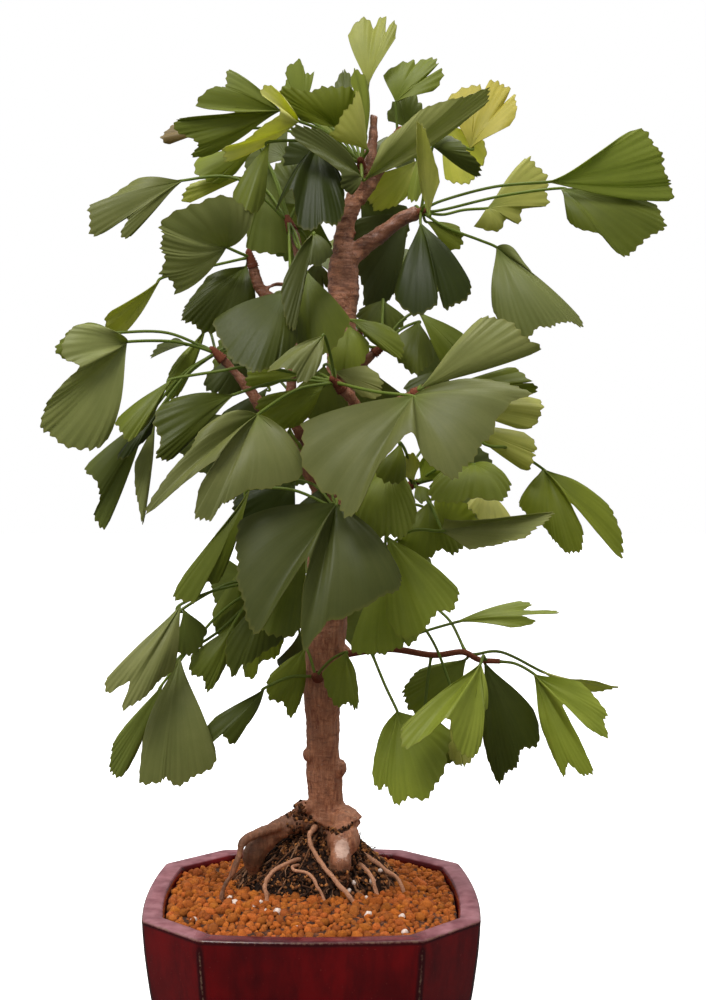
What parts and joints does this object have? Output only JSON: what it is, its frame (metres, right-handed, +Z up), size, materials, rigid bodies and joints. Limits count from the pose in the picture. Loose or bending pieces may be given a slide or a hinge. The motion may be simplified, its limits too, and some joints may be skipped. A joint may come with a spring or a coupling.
{
  "type": "ginkgo bonsai",
  "caption": "Upright ginkgo bonsai with fan-shaped leaves on short spurs, exposed roots and granular soil in a square dark red glazed pot with cut corners.",
  "frame": {"origin": "on the table, under the middle of the pot", "axes": "+Z up along the tree, -Y towards the viewer, +X to the viewer's right"},
  "size_m": [0.39, 0.2434, 0.6526],
  "materials": {
    "glaze": "glossy oxblood glaze, paler and purplish on the rim, thin brown breaks at the edges",
    "drain_screen": "matt black mesh",
    "akadama": "dry, crumbly orange-brown granules",
    "root_fibre": "dark matted fine roots and old soil",
    "bark": "dull reddish brown bark with fine rings and fissures",
    "leaf": "satin, leathery, paler beneath, light shows through"
  },
  "bodies": {
    "root": {"pot": "glaze", "drainage_screen_left": "drain_screen", "drainage_screen_right": "drain_screen", "akadama_soil": "akadama", "fibrous_root_mound": "root_fibre", "trunk": "bark", "leaves_top": "leaf", "leaves_left_inner": "leaf", "leaves_knob": "leaf", "leaves_right": "leaf", "leaves_left_upper": "leaf", "leaves_left_middle": "leaf", "leaves_front_middle": "leaf", "leaves_right_inner": "leaf", "leaves_right_front": "leaf", "leaves_right_lower": "leaf", "leaves_front_lower": "leaf", "leaves_centre_lower": "leaf", "leaves_left_lower": "leaf", "leaves_trunk_front": "leaf", "leaves_lower_shoot": "leaf", "leaves_back_top": "leaf", "leaves_back_upper": "leaf", "leaves_back_middle": "leaf", "leaves_back_right": "leaf", "leaves_back_lower": "leaf"}
  },
  "joints": []
}
